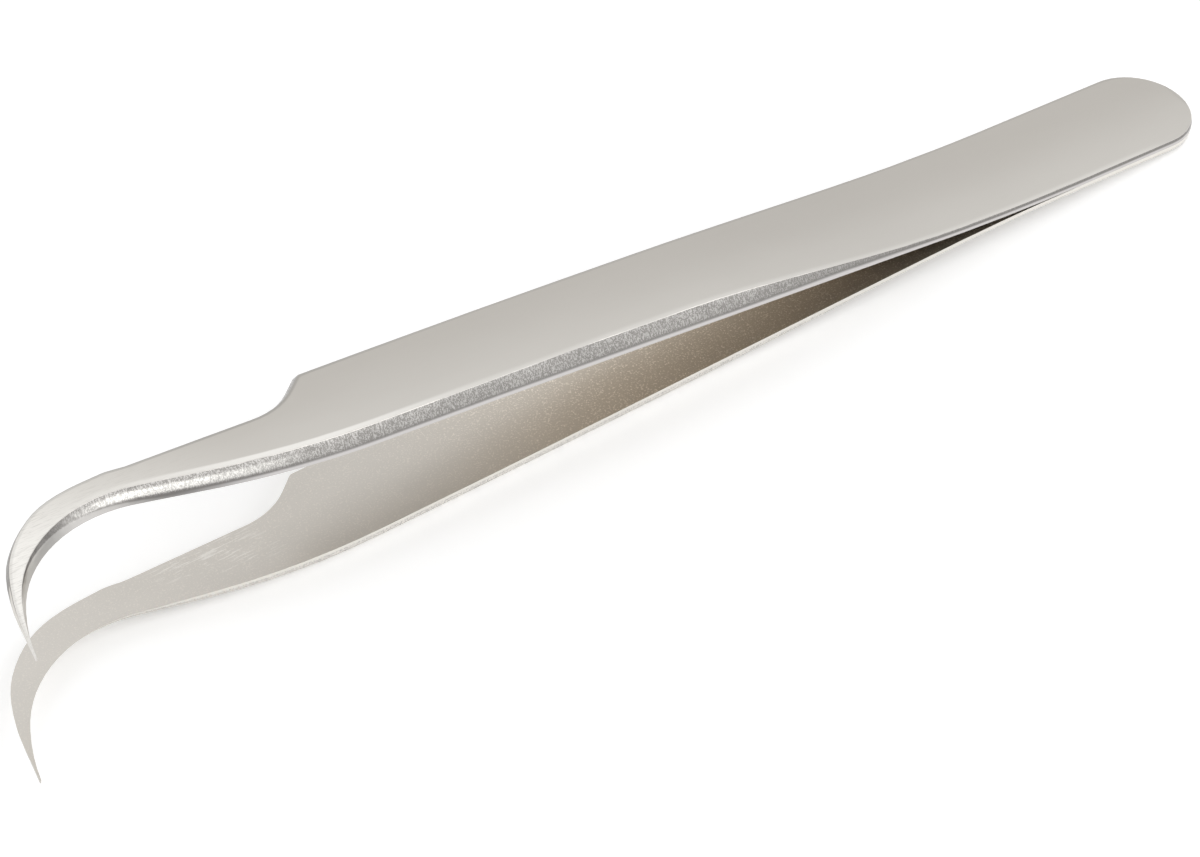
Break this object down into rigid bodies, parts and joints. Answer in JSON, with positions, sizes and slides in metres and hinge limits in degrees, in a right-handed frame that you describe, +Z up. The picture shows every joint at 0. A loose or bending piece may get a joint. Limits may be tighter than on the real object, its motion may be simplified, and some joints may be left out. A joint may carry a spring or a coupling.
{
  "type": "curved tip tweezers",
  "caption": "Slim stainless steel tweezers with two flat welded arms that narrow to a long, very fine tip curved to one side, for handling tiny parts.",
  "frame": {"origin": "middle of the base of the bounding box, on the surface that the tweezers lie on", "axes": "+X along the handle towards the welded tail, +Z up, and the curved tips bend towards -Y"},
  "size_m": [0.1182, 0.0168, 0.0144],
  "materials": {
    "steel": "satin, belt-ground flanks"
  },
  "bodies": {
    "root": {"upper_arm": "steel", "lower_arm": "steel"}
  },
  "joints": []
}
